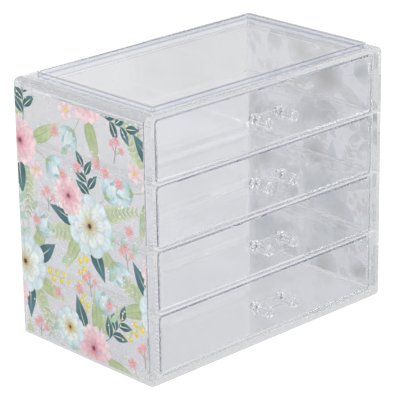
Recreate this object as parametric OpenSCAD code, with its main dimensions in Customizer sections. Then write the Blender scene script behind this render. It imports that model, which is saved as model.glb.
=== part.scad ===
// Clear moulded organizer with four drawers for make-up and jewellery.
// The case is one moulding: a rounded shell with a bay for each drawer, double
// side walls, a raised rim round its top and a skirt that it stands on.
// Each drawer is one moulding with a flush front, and a two-knob handle whose
// pegs pass through the front and are held by push-on caps inside.
// +X is to the right, +Y to the back, +Z up. The origin is under the middle of
// the whole part, knobs included, at the level it stands on.

/* [Case] */
// Width of the case
case_w = 240; // [200:1:300]
// Depth of the case, front to back
case_d = 138; // [110:1:180]
// Height of the case up to its top face, without the rim
case_h = 199.7; // [170:0.1:240]
// Thickness of the outer walls
wall = 2.4; // [2:0.1:3]
// Thickness of the top plate
top_t = 4.1; // [3:0.1:6]
// Outside radius of the two long edges at the top
top_r = 5.5; // [3:0.5:8]
// Outside radius of the two long edges at the bottom
foot_r = 3; // [1:0.5:5]
// Radius of the top's front and back edges
lip_r = 1.6; // [0.5:0.1:2.5]
// Thickness of the shelves between the bays
shelf_t = 2.4; // [1.8:0.1:3]
// Thickness of the inner side walls, next to the drawers
inner_wall = 2.4; // [1.8:0.1:3]
// Bevel round the mouth of each bay
mouth_bevel = 0.5; // [0.2:0.1:0.8]
// Width of the hollow between an inner and an outer side wall
side_hollow = 5.1; // [3:0.1:8]
// Corner radius of the side hollows
hollow_r = 1.5; // [0.5:0.1:1.8]
// Height of the skirt below the bottom plate
skirt_h = 3.6; // [2.5:0.1:6]
// Width of the skirt where it meets the table
skirt_w = 2.4; // [2:0.1:5]
// Corner radius inside the skirt
skirt_r = 3; // [1:0.5:6]

/* [Rim] */
// Height of the rim above the top face
rim_h = 4.1; // [3:0.1:9]
// Thickness of the rim
rim_t = 2.2; // [1.6:0.1:3]
// Distance from the rim to each side of the case
rim_side = 11.8; // [8:0.1:20]
// Distance from the rim to the back of the case
rim_back = 10.6; // [5:0.1:20]
// Distance from the rim to the front of the case
rim_front = 3.8; // [3:0.1:12]
// Outside corner radius of the rim
rim_r = 3; // [2.5:0.5:6]

/* [Drawers] */
// Gap round each drawer front
front_gap = 0.6; // [0.3:0.1:1.2]
// Thickness of a drawer front
front_t = 2.6; // [2:0.1:3.5]
// Corner radius of a drawer front and of its bay
front_r = 3; // [2:0.5:6]
// Bevel round the face of a drawer front
front_bevel = 0.6; // [0.2:0.1:1]
// Thickness of a tray's walls
tray_wall = 2; // [1.5:0.1:3]
// Thickness of a tray's floor
tray_floor = 2; // [1.5:0.1:3]
// Gap between a tray and each side of its bay
tray_side_gap = 1.2; // [0.8:0.1:2]
// Gap between a closed tray and the back of the case
tray_back_gap = 2.6; // [1:0.1:8]
// Running gap under a tray
tray_lift = 0.3; // [0.2:0.05:0.5]
// How far a tray's walls stop below the top of its front
tray_drop = 6; // [3:0.5:14]
// Outside radius of a tray's back corners
tray_r = 5; // [3:0.5:9]
// Outside radius of a tray's lower side edges
tray_foot_r = 3; // [2.5:0.1:5]

/* [Handles] */
// Distance between the two knobs
knob_span = 26; // [20:0.5:40]
// Diameter of the round foot under each knob
foot_d = 10.4; // [9.4:0.1:13]
// How far the feet, and the bar that joins them, stand out from the front
foot_t = 2; // [1.5:0.1:3]
// Clearance under the feet, and between the caps and the front
seat_gap = 0.03; // [0.02:0.01:0.05]
// Height of the bar between the feet
bar_h = 7.5; // [5:0.1:9]
// Bevel round the feet and round the back of a head
foot_bevel = 0.5; // [0.2:0.1:0.8]
// Diameter of a knob's neck
neck_d = 6.8; // [5.6:0.1:7.6]
// Diameter of a knob's head
head_d = 8.8; // [8:0.1:10]
// Length of a knob's head along its axis
head_l = 4.6; // [3.5:0.1:6]
// Radius of the edge round the head's end
head_r = 1.8; // [0.8:0.1:2.5]
// How far the knobs stand out from the front
knob_reach = 14; // [11:0.5:20]
// Diameter of the peg behind each knob
peg_d = 4.4; // [4:0.1:5]
// Radial clearance of a peg in the front
peg_clear = 0.1; // [0.05:0.01:0.2]
// Diameter of the hollow core in a peg and its knob
core_d = 2.2; // [1.6:0.1:2.8]
// Diameter of a push-on cap
cap_d = 9; // [7.5:0.1:11]
// Thickness of a push-on cap
cap_t = 2; // [1.5:0.1:3]
// Radial clearance of a cap on its peg
cap_clear = 0.03; // [0.01:0.01:0.05]

/* [Printed films] */
// Thickness of a printed side film
film_t = 0.3; // [0.2:0.05:0.5]
// Bare strip between a film and the edges of the flat side
film_edge = 0.8; // [0.4:0.1:4]
// Corner radius of a film
film_r = 1.5; // [0.5:0.5:4]
// Glue line between a film and the case
glue_t = 0.05; // [0.02:0.01:0.1]

/* [Hidden] */
bay_count = 4;

// Whole part, front to back
front_y = -(case_d - knob_reach) / 2;
back_y = front_y + case_d;

// Bays, counted from the top
bay_w = case_w - 2 * (wall + side_hollow + inner_wall);
floor_z = skirt_h + wall;
bay_h = (case_h - top_t - floor_z - (bay_count - 1) * shelf_t) / bay_count;
bay_back_y = back_y - wall;
function bay_z(i) = floor_z + (bay_count - i) * (bay_h + shelf_t);

// Side hollows
hollow_x = case_w / 2 - wall - side_hollow / 2;

// Drawers
front_w = bay_w - 2 * front_gap;
front_h = bay_h - 2 * front_gap;
tray_w = bay_w - 2 * tray_side_gap;
tray_h = front_h + front_gap - tray_lift - tray_drop;
tray_front_y = front_y + front_t;
tray_d = bay_back_y - tray_back_gap - tray_front_y;
knob_z = bay_h / 2;

// Handles
peg_l = front_t + seat_gap + cap_t;
core_end = knob_reach - head_l / 2;

// Films
film_d = case_d - 2 * film_edge;
film_h = case_h - top_r - foot_r - 2 * film_edge;
film_z = foot_r + film_edge + film_h / 2;

overlap = 0.01;
$fn = 64;

module rounded_rect(w, h, r) {
    square([w - 2 * r, h], center = true);
    square([w, h - 2 * r], center = true);
    for (sx = [-1, 1], sy = [-1, 1])
        translate([sx * (w / 2 - r), sy * (h / 2 - r)]) circle(r);
}

// A rounded plate that stands facing the front, from y0 back to y1,
// with the middle of its lower edge at x, z
module upright(w, h, r, y0, y1, x = 0, z = 0) {
    translate([x, y1, z + h / 2]) rotate([90, 0, 0])
        linear_extrude(y1 - y0) rounded_rect(w, h, r);
}

// The case seen from the front: rounded more at the top than at the bottom
module case_outline() {
    mid_h = case_h / 2;
    translate([-case_w / 2, foot_r]) square([case_w, case_h - foot_r - top_r]);
    translate([-case_w / 2 + foot_r, 0]) square([case_w - 2 * foot_r, mid_h]);
    translate([-case_w / 2 + top_r, mid_h]) square([case_w - 2 * top_r, case_h - mid_h]);
    for (sx = [-1, 1]) {
        translate([sx * (case_w / 2 - foot_r), foot_r]) circle(foot_r);
        translate([sx * (case_w / 2 - top_r), case_h - top_r]) circle(top_r);
    }
}

// A shape w wide, standing on y = 0 and h high, with two rounded corners at the bottom
module cup_outline(w, h, r) {
    translate([-w / 2, r]) square([w, h - r]);
    translate([-w / 2 + r, 0]) square([w - 2 * r, h]);
    for (sx = [-1, 1])
        translate([sx * (w / 2 - r), r]) circle(r);
}

// The case before anything is cut from it: the front view and the side view together
module case_block() {
    intersection() {
        translate([0, back_y, 0]) rotate([90, 0, 0]) linear_extrude(case_d) case_outline();
        translate([0, front_y + case_d / 2, case_h]) rotate([90, 0, 90])
            linear_extrude(case_w, center = true) mirror([0, 1])
                cup_outline(case_d, case_h, lip_r);
    }
}

// Half of the side view of a plate w wide: its edge is bevelled at the face
module bevelled_edge(w, t, bevel) {
    polygon([[0, 0], [w, 0], [w, t - bevel], [w - bevel, t], [0, t]]);
}

// A plate lying on z = 0 with rounded corners and a bevel round its upper face
module bevelled_plate(w, h, r, t, bevel) {
    for (turn = [[90, 0, 90], [-90, 180, 90]])
        rotate(turn) linear_extrude(w - 2 * r, center = true) bevelled_edge(h / 2, t, bevel);
    for (turn = [[90, 0, 0], [90, 0, 180]])
        rotate(turn) linear_extrude(h - 2 * r, center = true) bevelled_edge(w / 2, t, bevel);
    for (sx = [-1, 1], sy = [-1, 1])
        translate([sx * (w / 2 - r), sy * (h / 2 - r)])
            rotate_extrude() bevelled_edge(r, t, bevel);
}

module rim_outline(inset) {
    w = case_w - 2 * (rim_side + inset);
    d = case_d - rim_front - rim_back - 2 * inset;
    translate([0, front_y + rim_front + inset + d / 2])
        rounded_rect(w, d, rim_r - inset);
}

module case_body() {
    color([0.86, 0.88, 0.92, 0.4]) {
        difference() {
            case_block();
            for (i = [1 : bay_count]) {
                upright(bay_w, bay_h, front_r, front_y - overlap, bay_back_y, 0, bay_z(i));
                translate([0, front_y - overlap, bay_z(i) + bay_h / 2]) rotate([-90, 0, 0])
                    bevelled_plate(bay_w + 2 * mouth_bevel, bay_h + 2 * mouth_bevel,
                                   front_r + mouth_bevel, mouth_bevel + overlap, mouth_bevel);
                for (side = [-1, 1])
                    upright(side_hollow, bay_h, hollow_r, front_y + wall, back_y + overlap,
                            side * hollow_x, bay_z(i));
            }
            translate([0, front_y + case_d / 2, -overlap])
                linear_extrude(skirt_h + overlap)
                    rounded_rect(case_w - 2 * (foot_r + skirt_w), case_d - 2 * skirt_w, skirt_r);
        }
        translate([0, 0, case_h - overlap])
            linear_extrude(rim_h + overlap)
                difference() {
                    rim_outline(0);
                    rim_outline(rim_t);
                }
    }
}

module print_film(side) {
    color([0.72, 0.82, 0.8, 0.8])
        translate([side * (case_w / 2 + glue_t), front_y + case_d / 2, film_z])
            rotate([0, side * 90, 0])
                linear_extrude(film_t) rounded_rect(film_h, film_d, film_r);
}

// The block that a tray fills, or with an inset the space inside it, rounded at its
// back corners and along its lower sides. It starts at y = -reach.
module tray_block(inset, floor, reach) {
    w = tray_w - 2 * inset;
    d = tray_d - inset;
    intersection() {
        translate([0, d, floor]) mirror([0, 1, 0])
            linear_extrude(tray_h) cup_outline(w, d + reach, tray_r - inset);
        translate([0, d, floor]) rotate([90, 0, 0])
            linear_extrude(d + reach) cup_outline(w, tray_h, tray_foot_r - inset);
    }
}

module drawer(i) {
    z = bay_z(i);
    color([0.9, 0.92, 0.95, 0.4])
        difference() {
            union() {
                translate([0, tray_front_y, z + front_gap + front_h / 2]) rotate([90, 0, 0])
                    bevelled_plate(front_w, front_h, front_r, front_t, front_bevel);
                translate([0, tray_front_y, z + tray_lift]) tray_block(0, 0, overlap);
            }
            translate([0, tray_front_y, z + tray_lift]) tray_block(tray_wall, tray_floor, 0);
            for (sx = [-1, 1])
                translate([sx * knob_span / 2, front_y - overlap, z + knob_z])
                    rotate([-90, 0, 0]) cylinder(h = front_t + 2 * overlap, d = peg_d + 2 * peg_clear);
        }
}

// Half section of one knob with its peg: x is the radius, y is the height above
// the drawer's front, and the peg goes down from 0
module knob_section() {
    head_y = knob_reach - head_l;
    translate([0, seat_gap]) {
        bevelled_edge(foot_d / 2, foot_t - seat_gap, foot_bevel);
        square([neck_d / 2, head_y - seat_gap + overlap]);
    }
    translate([0, head_y + head_l - head_r]) mirror([0, 1])
        bevelled_edge(head_d / 2, head_l - head_r, foot_bevel);
    translate([0, knob_reach - head_r - overlap]) square([head_d / 2 - head_r, head_r + overlap]);
    intersection() {
        translate([head_d / 2 - head_r, knob_reach - head_r]) circle(head_r);
        translate([0, head_y]) square([head_d / 2, head_l]);
    }
    translate([0, -peg_l]) square([peg_d / 2, peg_l + seat_gap + overlap]);
}

module handle(i) {
    color([0.95, 0.96, 0.98, 0.5])
        translate([0, front_y, bay_z(i) + knob_z]) rotate([90, 0, 0])
            difference() {
                union() {
                    for (sx = [-1, 1])
                        translate([sx * knob_span / 2, 0]) rotate_extrude() knob_section();
                    translate([-knob_span / 2, -bar_h / 2, seat_gap])
                        cube([knob_span, bar_h, foot_t - seat_gap]);
                }
                for (sx = [-1, 1])
                    translate([sx * knob_span / 2, 0, -peg_l - overlap])
                        cylinder(h = peg_l + core_end + overlap, d = core_d);
            }
}

module handle_caps(i) {
    color([0.95, 0.96, 0.98, 0.5])
        for (sx = [-1, 1])
            translate([sx * knob_span / 2, tray_front_y + seat_gap, bay_z(i) + knob_z])
                rotate([-90, 0, 0]) difference() {
                    cylinder(h = cap_t, d = cap_d);
                    translate([0, 0, -overlap])
                        cylinder(h = cap_t + 2 * overlap, d = peg_d + 2 * cap_clear);
                }
}

case_body();
print_film(-1);  // left_print_film
print_film(1);  // right_print_film
drawer(1);  // drawer_1
drawer(2);  // drawer_2
drawer(3);  // drawer_3
drawer(4);  // drawer_4
handle(1);  // handle_1
handle(2);  // handle_2
handle(3);  // handle_3
handle(4);  // handle_4
handle_caps(1);  // handle_caps_1
handle_caps(2);  // handle_caps_2
handle_caps(3);  // handle_caps_3
handle_caps(4);  // handle_caps_4
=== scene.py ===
"""Clear four-drawer organizer with printed side films: plastics, floral print and studio.

Metres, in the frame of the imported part: +X right, +Y back, +Z up. The print is laid out in
millimetres on a flat sheet, and put in its place on the film as its mesh is made.
"""

import math

import bmesh
import bpy
import numpy as np
from mathutils import Matrix, Vector


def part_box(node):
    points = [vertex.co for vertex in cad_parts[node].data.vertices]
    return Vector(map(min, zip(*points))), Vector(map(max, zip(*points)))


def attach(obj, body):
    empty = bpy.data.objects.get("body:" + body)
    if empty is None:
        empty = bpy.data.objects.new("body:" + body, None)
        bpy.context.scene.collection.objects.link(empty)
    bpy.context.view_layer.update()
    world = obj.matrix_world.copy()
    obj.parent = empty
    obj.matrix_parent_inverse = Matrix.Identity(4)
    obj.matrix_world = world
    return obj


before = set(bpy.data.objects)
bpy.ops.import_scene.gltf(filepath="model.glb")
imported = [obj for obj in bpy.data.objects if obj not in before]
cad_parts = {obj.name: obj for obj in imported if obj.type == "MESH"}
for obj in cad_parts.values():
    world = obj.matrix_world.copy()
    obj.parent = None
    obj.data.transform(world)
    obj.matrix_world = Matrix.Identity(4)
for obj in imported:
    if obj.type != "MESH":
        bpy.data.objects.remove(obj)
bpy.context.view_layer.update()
MM = 0.001


# ---------------------------------------------------------------- small helpers


def new_material(name):
    """A node material with its Principled shader, as (material, tree, shader)."""
    material = bpy.data.materials.new(name)
    material.use_nodes = True
    tree = material.node_tree
    return material, tree, tree.nodes["Principled BSDF"]


def dress(names, material):
    """Gives CAD nodes one material."""
    for name in names:
        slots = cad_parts[name].data.materials
        slots.clear()
        slots.append(material)


def linear(*rgb):
    """A colour written from 0 to 255 as a printer would name it, in linear light."""
    c = np.array(rgb, float) / 255
    return np.where(c <= 0.04045, c / 12.92, ((c + 0.055) / 1.055) ** 2.4)


def math_node(tree, operation, *values):
    """The result of a Math node, from sockets or plain numbers."""
    node = tree.nodes.new("ShaderNodeMath")
    node.operation = operation
    for socket, value in zip(node.inputs, values):
        if isinstance(value, bpy.types.NodeSocket):
            tree.links.new(value, socket)
        else:
            socket.default_value = value
    return node.outputs[0]


def range_node(tree, value, source, target):
    """A value carried from one span of numbers to another, and held at the ends of the second."""
    node = tree.nodes.new("ShaderNodeMapRange")
    tree.links.new(value, node.inputs["Value"])
    ends = ("From Min", "From Max", "To Min", "To Max")
    for name, number in zip(ends, (*source, *target)):
        node.inputs[name].default_value = number
    return node.outputs["Result"]


def mixed(tree, share, first, second):
    """Two shaders mixed: a share of the second, and the rest of the first."""
    node = tree.nodes.new("ShaderNodeMixShader")
    for socket, value in zip(node.inputs, (share, first, second)):
        tree.links.new(value, socket)
    return node.outputs[0]


def noise(tree, scale, detail):
    """Cloudy noise between 0 and 1 that stays with the piece."""
    place = tree.nodes.new("ShaderNodeTexCoord")
    cloud = tree.nodes.new("ShaderNodeTexNoise")
    cloud.inputs["Scale"].default_value = scale
    cloud.inputs["Detail"].default_value = detail
    tree.links.new(place.outputs["Object"], cloud.inputs["Vector"])
    return cloud.outputs["Fac"]


# ---------------------------------------------------------------- clear plastic

CASE_TINT = (0.985, 0.987, 0.993)
DRAWER_TINT = (0.986, 0.988, 0.993)
HANDLE_TINT = (0.995, 0.996, 0.998)
# Painted shade: the darker blue-grey painted into the plastics' colour where they are seen edge on,
# and the near black painted on the knobs' edges
EDGE_ON_SHADE = (0.25, 0.3, 0.42, 1)
KNOB_EDGE_ON_SHADE = (0.03, 0.04, 0.07, 1)
# Painted shade: the flat grey mixed onto the edges of clear plates, for their dark lines
EDGE_SHADE_GREY = (0.3, 0.33, 0.42)
# What lamps and scattered light keep of their colour on the way through
CLEAR_PASS = (0.975, 0.978, 0.985)
FILM_PASS = (0.78, 0.78, 0.79)
INK_PASS = (0.92, 0.92, 0.91)
# A face counts as lying along an axis while its normal's share of that axis is below this
ALONG = 0.6
# The open end of a band, well outside the part
FAR = 1
RIM_HEIGHT = 4.1 * MM
FRONT_EDGE = 2.5 * MM
# A Mix node's factor, its two colours and its result, among its sockets for other values
MIX_FACTOR, MIX_FIRST, MIX_SECOND, MIX_RESULT = 0, 6, 7, 2


def let_light_in(material, surface, tint):
    """Lets lamps and scattered light straight through a clear material, so that they reach what
    is inside."""
    tree = material.node_tree
    path = tree.nodes.new("ShaderNodeLightPath")
    straight = math_node(tree, "MAXIMUM", path.outputs["Is Shadow Ray"],
                         path.outputs["Is Diffuse Ray"])
    clear = tree.nodes.new("ShaderNodeBsdfTransparent")
    clear.inputs["Color"].default_value = (*tint, 1)
    tree.links.new(mixed(tree, straight, surface, clear.outputs[0]),
                   tree.nodes["Material Output"].inputs["Surface"])


def band(tree, value, low, high):
    """1 where a value lies between low and high, else 0."""
    return math_node(tree, "MULTIPLY", math_node(tree, "GREATER_THAN", value, low),
                     math_node(tree, "LESS_THAN", value, high))


def clear_plastic(name, tint, bands=(), slant_from=0.72, slant_shade=EDGE_ON_SHADE):
    """Polished clear moulding: nearly colourless face on, with painted shade, a blue-grey painted
    into its colour where it is seen edge on.
    A band (axis, low, high, shade colour, shade share) paints shade: it tints the narrow faces
    between two places along an axis that don't face along it, for the dark lines at the edges of
    clear plates, and mixes in a painted flat grey by the shade share."""
    material, tree, shader = new_material(name)
    nodes, link = tree.nodes, tree.links.new
    shader.inputs["Roughness"].default_value = 0
    shader.inputs["IOR"].default_value = 1.5
    shader.inputs["Transmission Weight"].default_value = 1
    slant = nodes.new("ShaderNodeLayerWeight")
    slant.inputs["Blend"].default_value = 0.5
    ramp = nodes.new("ShaderNodeValToRGB")
    link(slant.outputs["Facing"], ramp.inputs["Fac"])
    start, end = ramp.color_ramp.elements
    start.position, start.color = slant_from, (*tint, 1)
    # Painted shade: the colour darkens to the slant shade where the face is seen edge on
    end.position, end.color = 1.0, slant_shade
    colour = ramp.outputs["Color"]
    place = nodes.new("ShaderNodeTexCoord")
    spot, facing = nodes.new("ShaderNodeSeparateXYZ"), nodes.new("ShaderNodeSeparateXYZ")
    link(place.outputs["Object"], spot.inputs[0])
    link(place.outputs["Normal"], facing.inputs[0])
    surface = shader.outputs[0]
    for axis, low, high, band_shade, shade_share in bands:
        inside = math_node(tree, "MULTIPLY", band(tree, spot.outputs[axis], low, high),
                           band(tree, facing.outputs[axis], -ALONG, ALONG))
        mix = nodes.new("ShaderNodeMix")
        mix.data_type = "RGBA"
        link(inside, mix.inputs[MIX_FACTOR])
        link(colour, mix.inputs[MIX_FIRST])
        mix.inputs[MIX_SECOND].default_value = (*band_shade, 1)
        colour = mix.outputs[MIX_RESULT]
        if shade_share:
            # Painted shade: a flat grey mixed onto the band's faces
            cloud = nodes.new("ShaderNodeBsdfDiffuse")
            cloud.inputs["Color"].default_value = (*EDGE_SHADE_GREY, 1)
            surface = mixed(tree, math_node(tree, "MULTIPLY", inside, shade_share), surface,
                            cloud.outputs[0])
    link(colour, shader.inputs["Base Color"])
    let_light_in(material, surface, CLEAR_PASS)
    return material


def milky_film():
    """Clear film with a little milk in it, in soft patches: where it is thicker the film lets less
    light through and is rougher."""
    material, tree, shader = new_material("milky_film")
    shader.inputs["Base Color"].default_value = (0.975, 0.97, 0.975, 1)
    shader.inputs["IOR"].default_value = 1.45
    patches = noise(tree, 34, 2)
    spread = (0.35, 0.65)
    tree.links.new(range_node(tree, patches, spread, (0.78, 0.84)),
                   shader.inputs["Transmission Weight"])
    tree.links.new(range_node(tree, patches, spread, (0.24, 0.17)), shader.inputs["Roughness"])
    let_light_in(material, shader.outputs[0], FILM_PASS)
    return material


def dress_the_solids():
    """Gives every CAD node its plastic. Painted shade: the rim gets darker blue-grey lines along
    its top and where it meets the top face, and each drawer front a blue-grey line and a little
    painted grey round its edge."""
    rim_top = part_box("case_body")[1][2]
    rim_foot = rim_top - RIM_HEIGHT
    front_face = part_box("drawer_1")[0][1]
    # Painted shade: the bands darken the rim's top and foot and the drawer fronts' edges to
    # blue-grey lines
    case_plastic = clear_plastic("clear_case", CASE_TINT, (
        ("Z", rim_top - 0.8 * MM, FAR, (0.4, 0.43, 0.5), 0),
        ("Z", rim_foot - 0.1 * MM, rim_foot + 0.9 * MM, (0.6, 0.66, 0.82), 0)))
    drawer_plastic = clear_plastic("clear_drawer", DRAWER_TINT, (
        ("Y", -FAR, front_face + FRONT_EDGE, (0.55, 0.6, 0.7), 0.5),))
    handle_plastic = clear_plastic("clear_handle", HANDLE_TINT, (), 0.74, KNOB_EDGE_ON_SHADE)
    dress(["case_body"], case_plastic)
    dress(["left_print_film", "right_print_film"], milky_film())
    for i in range(1, 5):
        dress([f"drawer_{i}"], drawer_plastic)
        dress([f"handle_{i}", f"handle_caps_{i}"], handle_plastic)


# ---------------------------------------------------------------- printed flowers

AQUA = linear(166, 212, 217)
AQUA_PALE = linear(224, 240, 244)
AQUA_DEEP = linear(122, 182, 192)
BLUSH = linear(252, 228, 230)
PINK = linear(247, 194, 205)
ROSE = linear(231, 136, 160)
BERRY = linear(150, 58, 84)
TEAL = linear(60, 106, 116)
TEAL_SOFT = linear(104, 150, 156)
SAGE = linear(186, 202, 154)
SAGE_PALE = linear(216, 224, 192)
MINT = linear(180, 214, 198)
YELLOW = linear(240, 220, 66)
MUSTARD = linear(216, 176, 60)
TWIG = linear(150, 122, 104)
CREAM = linear(246, 240, 200)
NAVY = linear(44, 62, 118)
WHITE = linear(252, 252, 250)
# The white under the print, and how much of the ink's own colour shows through it from behind
UNDERCOAT = linear(253, 252, 252)
SHOW_THROUGH = 0.24

# Height of one level of ink and thickness of the ink, in metres
INK_STEP = 3e-6
INK_THICK = 5e-7
# Gap between a film and the lowest ink on it, and the distance that joins doubled points
INK_GAP = 2e-6
JOIN = 2e-7

# Levels of ink in a posy: what is higher covers what is lower
FERN_LEVEL = 0
LEAF_LEVEL = 6
MIMOSA_LEVEL = 12
ROUND_LEAVES_LEVEL = 18
LAUREL_LEVEL = 21
DARK_LEAF_LEVELS = 32, 34
BELL_LEVELS = 36, 44
BLOOM_LEVEL = 52
OVER_WIDE_BLOOM = 78
OVER_LAYERED_BLOOM = 106
BLOSSOM_LEVEL = 132
DOT_LEVEL = 140
FILLER_LEVEL = 150

# The print's layout, in millimetres
COLUMN_PITCH = 74
ROW_PITCH = 94
POSY_REACH = 42
POSY_KEEPS_CLEAR = 33
PRINT_MARGIN = 0.3
DOT_SIZE = 1.4
FILLER_TRIES = 900
# Fillers by the draw that picks them, which is a dot above the last, and the room each needs
TWIG_BELOW, BLOSSOM_BELOW, LEAF_BELOW = 0.2, 0.35, 0.5
TWIG_ROOM, SPRIG_ROOM, DOT_ROOM = 7.0, 4.5, 1.4


def leaf_form(a):
    """Half width along a leaf: zero at both ends, widest a little below the middle."""
    return np.sin(np.pi * a ** 0.8) ** 1.15


def petal_form(a):
    """Half width along a petal: narrow at the claw and round at the tip."""
    return (a ** 0.75) * np.sqrt(np.clip(1 - a ** 5, 0, 1)) * 1.08


def pointed_form(a):
    """Half width along a pointed petal: widest a little above the middle, with a soft point."""
    return np.sin(np.pi * a ** 1.35) ** 0.8


def disc_form(a):
    """Half width across a disc, which is a circle's chord."""
    return np.sqrt(np.clip(1 - (2 * a - 1) ** 2, 0, 1))


def stem_form(a):
    """Half width along a stem: even, with short tapers at its ends."""
    return np.minimum(1, np.minimum(a, 1 - a) * 14)


class Print:
    """Collects the blades of ink that make one layer of a printed film, in millimetres."""

    def __init__(self, seed):
        self.random = np.random.default_rng(seed)
        self.parts = []
        self.lift = 0

    def blades(self, base, heading, length, width, form, paint, level, bend=0, rows=9, columns=5,
               notch=0):
        """Lays n leaves or petals at once. A blade's spine leaves its base along the heading and
        bends aside by bend * length * a * a / 2 at the share a of its length, and the point b from
        -1 to 1 across it lies b * form(a) * width / 2 from the spine. A notch pulls its tip in."""
        base = np.atleast_2d(np.asarray(base, float))
        n = max(len(base), np.size(heading), np.size(length))
        base = np.broadcast_to(base, (n, 2))
        heading, length, width, bend, level = (
            np.broadcast_to(np.asarray(v, float), (n,))[:, None, None]
            for v in (heading, length, width, bend, level))
        a = (0.5 - 0.5 * np.cos(np.pi * np.linspace(0, 1, rows)))[None, :, None]
        b = np.linspace(-1, 1, columns)[None, None, :]
        along = length * (a - notch * (1 - np.abs(b)) * a ** 4)
        aside = 0.5 * bend * length * a ** 2 + b * form(a) * width / 2
        x = base[:, 0, None, None] + along * np.cos(heading) - aside * np.sin(heading)
        y = base[:, 1, None, None] + along * np.sin(heading) + aside * np.cos(heading)
        ink = paint(np.broadcast_to(a, x.shape), np.broadcast_to(b, x.shape), n)
        self.parts.append((x, y, np.broadcast_to(level + self.lift, (n, 1, 1)), ink))

    def tint(self, n, spread=0.06):
        """A lightness for each of n blades, close to 1."""
        return (1 + self.random.uniform(-spread, spread, n))[:, None, None, None]

    def wash(self, foot, tip, edge=0.12, streaks=0.0, turn=0.6):
        """Watercolour along a blade: from foot to tip, pooled darker at its sides, with fine
        streaks."""
        def paint(a, b, n):
            k = np.clip((a - turn + 0.5), 0, 1)[..., None]
            k = k * k * (3 - 2 * k)
            colour = foot + (tip - foot) * k
            shade = 1 - edge * np.abs(b) ** 6 + streaks * np.sin(b * 11 + 2 * a) * a
            return colour * shade[..., None] * self.tint(n)
        return paint

    def plain(self, colour, spread=0.05):
        """One colour, with a lightness of its own on each blade."""
        def paint(a, b, n):
            return np.broadcast_to(colour, a.shape + (3,)) * self.tint(n, spread)
        return paint

    def dots(self, centre, size, colour, level):
        """Round dots."""
        centre = np.atleast_2d(centre)
        size = np.broadcast_to(np.asarray(size, float), (len(centre),))
        start = centre - np.column_stack([size / 2, 0 * size])
        self.blades(start, 0, size, size, disc_form, self.plain(colour), level)

    def gathered(self):
        """Every blade as a closed flat tube: its upper side, then its underside backwards. Gives
        the points in millimetres, their colours, 1 on upper sides and 0 below, and the faces."""
        points, inks, tops, faces, first = [], [], [], [], 0
        for x, y, level, ink in self.parts:
            n, rows, columns = x.shape
            low = level * INK_STEP / MM
            top = np.stack([x, y, np.broadcast_to(low + INK_THICK / MM, x.shape)], -1)
            under = np.stack([x, y, np.broadcast_to(low, x.shape)], -1)[:, :, ::-1]
            pale = ((1 - SHOW_THROUGH) * UNDERCOAT + SHOW_THROUGH * ink)[:, :, ::-1]
            loop = 2 * columns
            points.append(np.concatenate([top, under], 2).reshape(-1, 3))
            inks.append(np.concatenate([ink, pale], 2).reshape(-1, 3))
            tops.append(np.broadcast_to(np.arange(loop) < columns, (n, rows, loop)).ravel())
            i = np.arange(rows - 1)[:, None] * loop
            j = np.arange(loop)[None, :]
            k = (j + 1) % loop
            quad = np.stack([i + j, i + loop + j, i + loop + k, i + k], -1).reshape(-1, 4)
            faces.append((first + np.arange(n)[:, None, None] * rows * loop + quad).reshape(-1, 4))
            first += n * rows * loop
        return map(np.concatenate, (points, inks, tops, faces))

    def mesh(self, name, place, half_width, half_height):
        """One closed mesh of every blade, clipped to the film, with its colour in 'ink' and 1 in
        the alpha of its upper side, 0 in that of its underside."""
        points, inks, tops, faces = self.gathered()
        mesh = bpy.data.meshes.new(name)
        mesh.from_pydata((place(points * MM)).tolist(), [], faces.tolist())
        colour = mesh.color_attributes.new("ink", "FLOAT_COLOR", "POINT")
        colour.data.foreach_set("color", np.column_stack([inks, tops]).ravel().astype(np.float32))
        body = bmesh.new()
        body.from_mesh(mesh)
        bmesh.ops.remove_doubles(body, verts=body.verts, dist=JOIN)
        centre = place(np.zeros((1, 3)))[0]
        for axis, half in ((1, half_width), (2, half_height)):
            for way in (-1, 1):
                point, normal = list(centre), [0, 0, 0]
                point[axis] += way * half * MM
                normal[axis] = way
                geometry = body.verts[:] + body.edges[:] + body.faces[:]
                bmesh.ops.bisect_plane(body, geom=geometry, dist=1e-8, plane_co=point,
                                       plane_no=normal, clear_outer=True)
                rim = [e for e in body.edges if e.is_boundary]
                bmesh.ops.holes_fill(body, edges=rim, sides=0)
        body.to_mesh(mesh)
        body.free()
        obj = bpy.data.objects.new(name, mesh)
        bpy.context.scene.collection.objects.link(obj)
        return obj


def turned(points, angle, shift):
    """Points turned by an angle about the origin and moved by a shift."""
    c, s = math.cos(angle), math.sin(angle)
    return np.atleast_2d(points) @ np.array([[c, s], [-s, c]]) + shift


def wide_bloom(sheet, centre, size, level, spin=0.0):
    """An open bloom: two rings of notched petals round a gold button with a ring of stamens."""
    for ring, (count, reach, light) in enumerate(((9, 1.0, 0.0), (8, 0.7, 0.6))):
        angle = spin + (np.arange(count) + 0.5 * ring) * 2 * np.pi / count
        foot = AQUA * (1 - light) + AQUA_PALE * light
        tip = AQUA_PALE * (1 - light) + WHITE * light
        sheet.blades(centre, angle, size / 2 * reach, size * 0.42 * reach, petal_form,
                     sheet.wash(foot, tip, 0.2, 0.05, 0.4), level + ring * 10 + np.arange(count),
                     rows=13, columns=9, notch=0.12)
    count = 26
    angle = spin + np.arange(count) * 2 * np.pi / count
    reach = size * (0.15 + 0.05 * (np.arange(count) % 3))
    sheet.blades(centre, angle, reach, 0.45, stem_form, sheet.plain(MUSTARD), level + 20,
                 rows=4, columns=3)
    ends = centre + reach[:, None] * np.column_stack([np.cos(angle), np.sin(angle)])
    sheet.dots(ends, 1.2, YELLOW, level + 22)
    sheet.dots(centre, size * 0.14, MUSTARD, level + 23)
    sheet.dots(centre, size * 0.08, NAVY, level + 24)


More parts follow.
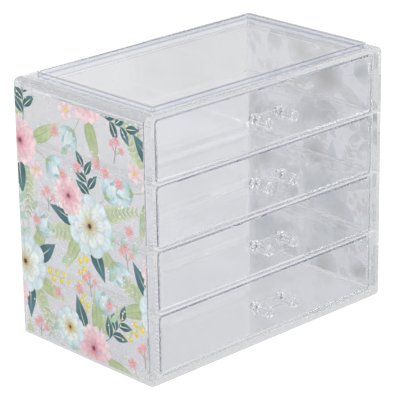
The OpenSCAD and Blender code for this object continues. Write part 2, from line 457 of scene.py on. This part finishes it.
def layered_bloom(sheet, centre, size, level, spin=0.0):
    """A full pink bloom: four rings of pointed petals, deeper towards the middle. A ring is its
    count, its reach as a share of the bloom, and its colours at the tip and at the foot."""
    rings = ((13, 1.0, BLUSH, PINK * 0.8 + BLUSH * 0.2),
             (12, 0.78, BLUSH * 0.7 + PINK * 0.3, PINK),
             (10, 0.55, PINK * 0.7 + BLUSH * 0.3, ROSE * 0.5 + PINK * 0.5),
             (7, 0.3, PINK, BERRY * 0.6 + ROSE * 0.4))
    for ring, (count, reach, tip, foot) in enumerate(rings):
        angle = spin + (np.arange(count) + 0.5 * ring) * 2 * np.pi / count
        sheet.blades(centre, angle, size / 2 * reach, size * 0.31 * reach, pointed_form,
                     sheet.wash(foot, tip, 0.22, 0.04, 0.5), level + ring * 13 + np.arange(count),
                     rows=9, columns=7)
    sheet.dots(centre, size * 0.09, BERRY, level + 53)


def veined_leaf(sheet, foot, angle, length, width, level, dark, soft, vein, bend=0.35):
    """Single leaves with a midrib that stops short of the tip."""
    level = level + 2 * np.arange(len(np.atleast_2d(foot)))
    sheet.blades(foot, angle, length, width, leaf_form, sheet.wash(dark, soft, 0.12, 0.03, 0.75),
                 level, bend=bend, rows=11, columns=7)
    sheet.blades(foot, angle, length * 0.8, 0.75, leaf_form, sheet.plain(vein), level + 1,
                 bend=bend, columns=3)


def stem(sheet, foot, angle, length, width, colour, level, bend, rows=7):
    """A thin stem or stalk."""
    sheet.blades(foot, angle, length, width, stem_form, sheet.plain(colour), level, bend=bend,
                 rows=rows, columns=3)


def along_stem(foot, angle, length, bend, a):
    """The points of a stem at the shares a of its length."""
    return turned(np.column_stack([length * a, 0.5 * bend * length * a ** 2]), angle, foot)


def laurel(sheet, foot, angle, length, level, count=5):
    """A curved stem with dark leaves on both sides and one at its tip."""
    bend = 0.5
    stem(sheet, foot, angle, length, 0.7, TEAL_SOFT, level, bend, rows=9)
    a = np.linspace(0.35, 1, count)
    side = np.where(np.arange(count) % 2 == 0, 1, -1) * np.where(a > 0.99, 0.05, 0.75)
    veined_leaf(sheet, along_stem(foot, angle, length, bend, a),
                angle + np.arctan(bend * a) + side, length * (0.62 - 0.16 * a),
                length * (0.27 - 0.06 * a), level + 1, TEAL, TEAL_SOFT, CREAM,
                0.25 * np.sign(side))


def fern(sheet, foot, angle, length, level, count=9):
    """A curved stem with small opposite leaflets that shorten towards its tip."""
    bend = -0.45
    stem(sheet, foot, angle, length, 0.6, SAGE, level, bend, rows=9)
    a = np.repeat(np.linspace(0.2, 0.97, count), 2)
    base = along_stem(foot, angle, length, bend, a)
    side = np.tile([0.8, -0.8], count)
    heading = angle + np.arctan(bend * a) + side
    size = length * (0.3 - 0.17 * a)
    sheet.blades(base, heading, size, size * 0.34, leaf_form,
                 sheet.wash(SAGE, SAGE_PALE, 0.1, 0, 0.5),
                 level + 1 + np.arange(2 * count) % 4, rows=7, columns=5)


def mimosa(sheet, foot, angle, length, level):
    """A thin twig with yellow balls on short stalks."""
    bend = 0.35
    stem(sheet, foot, angle, length, 0.5, SAGE, level, bend)
    count = 6
    a = np.linspace(0.4, 1, count)
    base = along_stem(foot, angle, length, bend, a)
    heading = angle + np.arctan(bend * a) + np.where(np.arange(count) % 2 == 0, 0.8, -0.8)
    stalk = 5 - 2 * a
    stem(sheet, base, heading, stalk, 0.4, SAGE, level, 0, rows=3)
    ends = base + stalk[:, None] * np.column_stack([np.cos(heading), np.sin(heading)])
    sheet.dots(ends, 6.2 - 2.4 * a, YELLOW, level + 1 + np.arange(count) % 3)
    sheet.dots(ends + 0.6, (6.2 - 2.4 * a) * 0.35, CREAM, level + 5)


def bell(sheet, foot, angle, length, level):
    """A bellflower on a thin stem: five petals that join in a cup and flare at its mouth, in a
    sage calyx."""
    bend = -0.3
    stem(sheet, foot, angle, length * 0.5, 0.7, SAGE, level, bend)
    tip = turned([[length * 0.47, 0.5 * bend * length * 0.5 * 0.9]], angle, foot)[0]
    aim = angle + bend
    size = length * 0.44
    sheet.blades(tip, aim + np.array([-0.2, 0.2]), size * 1.02, size * 0.44, leaf_form,
                 sheet.wash(AQUA_DEEP, AQUA, 0.2, 0.03), level + 1 + np.arange(2),
                 rows=9, columns=7)
    sheet.blades(tip, aim + np.array([-0.42, 0.42]), size * 1.04, size * 0.52, leaf_form,
                 sheet.wash(AQUA * 0.6 + AQUA_DEEP * 0.4, AQUA_PALE, 0.2, 0.03, 0.4),
                 level + 3 + np.arange(2), bend=np.array([-0.55, 0.55]), rows=11, columns=7)
    sheet.blades(tip, aim, size * 0.98, size * 0.6, leaf_form,
                 sheet.wash(AQUA, WHITE * 0.4 + AQUA_PALE * 0.6, 0.24, 0.04, 0.35),
                 level + 5, rows=11, columns=7)
    sheet.blades(tip, aim + np.array([-0.6, 0.6]), size * 0.34, size * 0.15, leaf_form,
                 sheet.wash(SAGE * 0.9, SAGE), level + 6 + np.arange(2), rows=6, columns=3)


def blossom(sheet, centre, size, level, spin, tip=PINK, foot=ROSE):
    """A small five-petalled blossom with a yellow eye."""
    angle = spin + np.arange(5) * 2 * np.pi / 5
    sheet.blades(centre, angle, size / 2, size * 0.46, petal_form,
                 sheet.wash(foot, tip, 0.12, 0, 0.35), level + np.arange(5),
                 rows=8, columns=5, notch=0.1)
    sheet.dots(centre, size * 0.2, YELLOW, level + 6)


def blossom_twig(sheet, foot, angle, length, level):
    """A forked brown twig with three small blossoms at its ends."""
    foot = np.array(foot, float)
    fork = foot + length * 0.45 * np.array([math.cos(angle), math.sin(angle)])
    stem(sheet, foot, angle, length, 0.6, TWIG, level, 0.2)
    for way, share in ((0.75, 0.5), (-0.7, 0.42)):
        stem(sheet, fork, angle + way, length * share, 0.5, TWIG, level, 0, rows=4)
        reach = np.array([math.cos(angle + way), math.sin(angle + way)])
        blossom(sheet, fork + length * share * reach, 6.5, level + 2, angle)
    blossom(sheet, turned([[length, 0.1 * length]], angle, foot)[0], 8, level + 2, angle + 1)


def round_leaves(sheet, foot, angle, length, level):
    """A pale twig with round mint leaves in pairs."""
    bend = 0.3
    stem(sheet, foot, angle, length, 0.5, SAGE, level, bend)
    a = np.repeat(np.linspace(0.3, 0.95, 3), 2)
    base = along_stem(foot, angle, length, bend, a)
    heading = angle + np.arctan(bend * a) + np.tile([1.0, -1.0], 3)
    size = 9.5 - 3 * a
    sheet.blades(base, heading, size, size * 0.78, disc_form,
                 sheet.wash(MINT, MINT * 0.6 + WHITE * 0.4, 0.2, 0, 0.5),
                 level + 1 + np.arange(6) % 2, rows=9, columns=5)


# The sprigs of the two kinds of posy, each with its reach from the middle, its direction and its
# length, and a leaf also with its width and its bend
POSY_SPRIGS = (
    {"laurel": (12, 4.8, 30),
     "leaves": ((12, 1.95, 30, 13, 0.35), (12, 0.15, 32, 12, -0.4)),
     "bells": ((10, 4.35, 43), (10, 2.65, 44))},
    {"laurel": (11, 0.2, 31),
     "leaves": ((11, 3.5, 31, 13, 0.35), (11, 1.75, 30, 12, -0.4)),
     "bells": ((11, 1.0, 43), (10, 5.0, 41))},
)


def posy(sheet, centre, turn, kind):
    """One bouquet about 90 mm across: foliage first, then the flowers on top of it."""
    centre = np.array(centre, float)

    def at(reach, way):
        """The point at a reach from the middle, in a direction that turns with the posy."""
        return turned([[reach * math.cos(way), reach * math.sin(way)]], turn, centre)[0]

    for way, size in ((0.6, 46), (3.9, 44)):
        fern(sheet, at(10, way), turn + way, size, FERN_LEVEL)
    for k, way in enumerate((2.35, 5.5, 0.95)):
        veined_leaf(sheet, at(10, way), turn + way, 41, 12, LEAF_LEVEL + 2 * k,
                    SAGE, SAGE_PALE, SAGE * 0.8, 0.4)
    mimosa(sheet, at(10, 1.35), turn + 1.35, 36, MIMOSA_LEVEL)
    round_leaves(sheet, at(10, 3.05), turn + 3.05, 38, ROUND_LEAVES_LEVEL)
    sprigs = POSY_SPRIGS[kind]
    reach, way, size = sprigs["laurel"]
    laurel(sheet, at(reach, way), turn + way, size, LAUREL_LEVEL)
    for (reach, way, size, width, bend), level in zip(sprigs["leaves"], DARK_LEAF_LEVELS):
        veined_leaf(sheet, at(reach, way), turn + way, size, width, level,
                    TEAL, TEAL_SOFT, CREAM, bend)
    for (reach, way, size), level in zip(sprigs["bells"], BELL_LEVELS):
        bell(sheet, at(reach, way), turn + way, size, level)
    if kind == 0:
        wide_bloom(sheet, centre, 48, BLOOM_LEVEL, turn)
        layered_bloom(sheet, at(28, 5.75), 31, OVER_WIDE_BLOOM, turn)
    else:
        layered_bloom(sheet, centre, 38, BLOOM_LEVEL, turn)
        wide_bloom(sheet, at(27, 2.4), 31, OVER_LAYERED_BLOOM, turn)
        blossom(sheet, at(25, 4.35), 15, BLOSSOM_LEVEL, turn, BLUSH, PINK)
    for k, way in enumerate(sheet.random.uniform(0, 2 * np.pi, 9)):
        sheet.dots(at(14 + 3 * k, way), DOT_SIZE, WHITE, DOT_LEVEL + k)


def fill_between(sheet, half_width, half_height, taken):
    """Twigs, blossoms, leaves and dots at random spots that the posies and each other leave
    free."""
    spots = sheet.random.uniform(-1, 1, (FILLER_TRIES, 2)) * (half_width, half_height)
    kinds = sheet.random.uniform(0, 1, FILLER_TRIES)
    for (x, y), kind in zip(spots, kinds):
        room = TWIG_ROOM if kind < TWIG_BELOW else SPRIG_ROOM if kind < LEAF_BELOW else DOT_ROOM
        if any(math.hypot(x - u, y - v) < r + room for u, v, r in taken):
            continue
        if kind < TWIG_BELOW:
            blossom_twig(sheet, (x, y - 8), math.pi / 2 + 2 * kind - 0.3, 17, 0)
        elif kind < BLOSSOM_BELOW:
            blossom(sheet, np.array([x, y]), 9.5, 0, 6 * kind)
        elif kind < LEAF_BELOW:
            veined_leaf(sheet, (x - 4, y - 2), 0.6, 11, 5, 0, MINT, SAGE_PALE, SAGE)
        else:
            sheet.dots((x, y), DOT_SIZE, WHITE, 0)
        taken.append((x, y, room))


def floral_print(side, seed, shift, ink):
    """The whole print of one film: posies on a half-drop lattice, with smaller sprigs between."""
    node = f"{side}_print_film"
    low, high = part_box(node)
    half_width = (high.y - low.y) / 2 / MM - PRINT_MARGIN
    half_height = (high.z - low.z) / 2 / MM - PRINT_MARGIN
    way = -1 if side == "left" else 1
    face = (low.x if side == "left" else high.x) + way * INK_GAP
    middle = ((low.y + high.y) / 2, (low.z + high.z) / 2)

    def place(p):
        """Points of the sheet, in metres, put on the film's outer face."""
        return np.column_stack([face + way * p[:, 2], middle[0] + way * p[:, 0],
                                middle[1] + p[:, 1]])

    sheet = Print(seed)
    taken = []
    for column in range(-2, 3):
        for row in range(-2, 3):
            x = column * COLUMN_PITCH + shift[0]
            y = row * ROW_PITCH + (ROW_PITCH / 2 if column % 2 else 0) + shift[1]
            if abs(x) > half_width + POSY_REACH or abs(y) > half_height + POSY_REACH:
                continue
            # Neighbours differ by thirds of a level, so that their blades never share a plane
            sheet.lift = (column - row + column // 2) % 3 / 3
            posy(sheet, (x, y), 1.9 * column + 2.6 * row + seed, (column + row) % 2)
            taken.append((x, y, POSY_KEEPS_CLEAR))
    sheet.lift = FILLER_LEVEL
    fill_between(sheet, half_width, half_height, taken)
    obj = sheet.mesh(f"{side}_print_flowers", place, half_width, half_height)
    obj.data.materials.append(ink)
    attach(obj, "case")


def flower_ink():
    """Slightly uneven printing ink. Its upper sides show their colour, and its undersides mostly
    pass light on, so that the print looks pale and lit when it is seen from behind."""
    material, tree, shader = new_material("flower_ink")
    painted = tree.nodes.new("ShaderNodeVertexColor")
    painted.layer_name = "ink"
    colour = tree.nodes.new("ShaderNodeVectorMath")
    colour.operation = "SCALE"
    tree.links.new(painted.outputs["Color"], colour.inputs[0])
    tree.links.new(range_node(tree, noise(tree, 260, 3), (0.3, 0.7), (0.88, 1.1)),
                   colour.inputs["Scale"])
    tree.links.new(colour.outputs["Vector"], shader.inputs["Base Color"])
    shader.inputs["Roughness"].default_value = 0.35
    glow = tree.nodes.new("ShaderNodeBsdfTranslucent")
    tree.links.new(colour.outputs["Vector"], glow.inputs["Color"])
    passed_on = range_node(tree, painted.outputs["Alpha"], (0, 1), (0.9, 0))
    let_light_in(material, mixed(tree, passed_on, shader.outputs[0], glow.outputs[0]), INK_PASS)
    return material


# ---------------------------------------------------------------- studio

# The photograph's view: the camera's place, and its yaw, pitch and roll in degrees
CAMERA_PLACE = (-1.0181, -1.05964, 0.63717)
CAMERA_TURN = (43.570, 20.305, -0.909)
CAMERA_LENS = 189.45
CAMERA_SENSOR = 36
CAMERA_RANGE = 0.05, 20

# Each lamp's name, place, size and power; they all face the middle of the part
LAMP_AIM = (0, 0, 0.1)
LAMPS = (("key", (-1.3, -1.0, 1.9), 1.4, 12),
         ("fill", (1.4, -1.6, 1.2), 1.2, 5),
         ("glint_left", (-0.6, -1.6, 0.9), 0.2, 1.5),
         ("glint_right", (0.9, -1.3, 1.6), 0.2, 1.5))

# The world's greys, as (position, level) stops: by height from straight below to straight above,
# and by depth from the front to the back
LIGHT_BY_HEIGHT = ((0.0, 0.8), (0.5, 0.72), (0.58, 0.9), (1.0, 1.0))
GLASS_BY_HEIGHT = ((0.7, 0.72), (0.77, 0.36), (0.86, 0.42), (0.93, 1.0))
GLASS_BY_DEPTH = ((0.0, 0.05), (0.1, 0.2), (0.25, 0.55), (0.5, 0.74), (1.0, 0.84))
LIGHT_STRENGTH = 0.85
GLASS_STRENGTH = 1.35

# The floor's size in metres, its grey by light and as the plastic shows it, and its glow in what
# the plastic shows and to the camera
FLOOR_RADIUS, FLOOR_RINGS, FLOOR_SECTORS = 4.0, 24, 96
FLOOR_GREYS = 0.8, 0.22
FLOOR_GLOW_IN_PLASTIC, FLOOR_GLOW_TO_CAMERA = 0.5, 0.42

# Light is reflected many times inside a clear moulding before it leaves
CLEAR_BOUNCES = 400


def set_camera():
    """The photograph's view, from yaw, pitch and roll."""
    yaw, pitch, roll = (math.radians(a) for a in CAMERA_TURN)
    forward = Vector((math.sin(yaw) * math.cos(pitch), math.cos(yaw) * math.cos(pitch),
                      -math.sin(pitch)))
    right = Vector((math.cos(yaw), -math.sin(yaw), 0))
    up = right.cross(forward)
    side = right * math.cos(roll) + up * math.sin(roll)
    top = up * math.cos(roll) - right * math.sin(roll)
    camera = bpy.data.objects.new("camera", bpy.data.cameras.new("camera"))
    camera.data.sensor_width = CAMERA_SENSOR
    camera.data.lens = CAMERA_LENS
    camera.data.clip_start, camera.data.clip_end = CAMERA_RANGE
    turn = Matrix((side, top, -forward)).transposed().to_4x4()
    camera.matrix_world = Matrix.Translation(CAMERA_PLACE) @ turn
    bpy.context.scene.collection.objects.link(camera)
    bpy.context.scene.camera = camera


def area_lamp(name, place, size, power):
    """A square soft lamp at a place, turned to face the part."""
    data = bpy.data.lights.new(name, "AREA")
    data.size = size
    data.energy = power
    lamp = bpy.data.objects.new(name, data)
    lamp.location = place
    lamp.rotation_euler = (Vector(LAMP_AIM) - Vector(place)).to_track_quat("-Z", "Y").to_euler()
    bpy.context.scene.collection.objects.link(lamp)


def plastic_ray(tree):
    """1 for the rays that a clear or glossy piece sends on, and 1 for the camera's own rays."""
    path = tree.nodes.new("ShaderNodeLightPath")
    sent_on = math_node(tree, "MAXIMUM", path.outputs["Is Glossy Ray"],
                        path.outputs["Is Transmission Ray"])
    return sent_on, path.outputs["Is Camera Ray"]


def ramp_node(tree, factor, stops):
    """Greys that turn bluish as they darken, from (position, level) stops."""
    ramp = tree.nodes.new("ShaderNodeValToRGB")
    tree.links.new(factor, ramp.inputs["Fac"])
    elements = ramp.color_ramp.elements
    while len(elements) < len(stops):
        elements.new(0.5)
    for element, (position, level) in zip(elements, stops):
        element.position = position
        element.color = (level, level * (1.03 - 0.03 * level), level * (1.1 - 0.1 * level), 1)
    return ramp.outputs["Color"]


def studio_world():
    """White to the camera; through and off the plastic a white backdrop that greys towards the
    front."""
    world = bpy.data.worlds.new("studio")
    world.use_nodes = True
    bpy.context.scene.world = world
    tree = world.node_tree
    nodes, link = tree.nodes, tree.links.new
    nodes.clear()
    out = nodes.new("ShaderNodeOutputWorld")
    place = nodes.new("ShaderNodeTexCoord")
    split = nodes.new("ShaderNodeSeparateXYZ")
    link(place.outputs["Generated"], split.inputs[0])
    height = range_node(tree, split.outputs["Z"], (-1, 1), (0, 1))
    depth = range_node(tree, split.outputs["Y"], (-1, 1), (0, 1))
    light, glass, backdrop = (nodes.new("ShaderNodeBackground") for _ in range(3))
    link(ramp_node(tree, height, LIGHT_BY_HEIGHT), light.inputs["Color"])
    light.inputs["Strength"].default_value = LIGHT_STRENGTH
    link(ramp_node(tree, depth, GLASS_BY_DEPTH), glass.inputs["Color"])
    link(math_node(tree, "MULTIPLY", ramp_node(tree, height, GLASS_BY_HEIGHT), GLASS_STRENGTH),
         glass.inputs["Strength"])
    backdrop.inputs["Color"].default_value = (1, 1, 1, 1)
    sent_on, to_camera = plastic_ray(tree)
    beyond = mixed(tree, sent_on, light.outputs[0], glass.outputs[0])
    link(mixed(tree, to_camera, beyond, backdrop.outputs[0]), out.inputs["Surface"])


def studio_floor():
    """A wide pale round floor that shows near white and keeps the object's soft shadow. Ring k of n
    lies at the radius times (k / n) ** 1.5, so the rings are closer in the middle."""
    angle = np.linspace(0, 2 * np.pi, FLOOR_SECTORS, endpoint=False)
    radius = np.linspace(0, 1, FLOOR_RINGS + 1)[1:] ** 1.5 * FLOOR_RADIUS
    x = (radius[:, None] * np.cos(angle)).ravel()
    y = (radius[:, None] * np.sin(angle)).ravel()
    points = np.column_stack([np.r_[0, x], np.r_[0, y], np.zeros(len(x) + 1)])
    k = np.arange(FLOOR_SECTORS)
    nxt = (k + 1) % FLOOR_SECTORS
    middle = np.column_stack([0 * k, 1 + k, 1 + nxt])
    first = (1 + FLOOR_SECTORS * np.arange(FLOOR_RINGS - 1))[:, None]
    quads = np.stack([first + k, first + FLOOR_SECTORS + k, first + FLOOR_SECTORS + nxt,
                      first + nxt], axis=-1)
    mesh = bpy.data.meshes.new("floor")
    mesh.from_pydata(points.tolist(), [], middle.tolist() + quads.reshape(-1, 4).tolist())
    floor = bpy.data.objects.new("floor", mesh)
    bpy.context.scene.collection.objects.link(floor)
    material, tree, shader = new_material("pale_floor")
    shader.inputs["Roughness"].default_value = 0.9
    shader.inputs["Emission Color"].default_value = (1, 1, 1.01, 1)
    sent_on, to_camera = plastic_ray(tree)
    glow = math_node(tree, "MULTIPLY", sent_on, FLOOR_GLOW_IN_PLASTIC)
    tree.links.new(math_node(tree, "MULTIPLY_ADD", to_camera, FLOOR_GLOW_TO_CAMERA, glow),
                   shader.inputs["Emission Strength"])
    tree.links.new(range_node(tree, sent_on, (0, 1), FLOOR_GREYS), shader.inputs["Base Color"])
    mesh.materials.append(material)


dress_the_solids()
print_ink = flower_ink()
floral_print("left", 3, (10, 8), print_ink)
floral_print("right", 8, (-14, -26), print_ink)
set_camera()
studio_world()
studio_floor()
for lamp in LAMPS:
    area_lamp(*lamp)

scene = bpy.context.scene
scene.view_settings.view_transform = "Standard"
scene.cycles.max_bounces = CLEAR_BOUNCES
scene.cycles.transmission_bounces = CLEAR_BOUNCES
scene.cycles.glossy_bounces = CLEAR_BOUNCES
scene.cycles.diffuse_bounces = 8
scene.cycles.transparent_max_bounces = 64
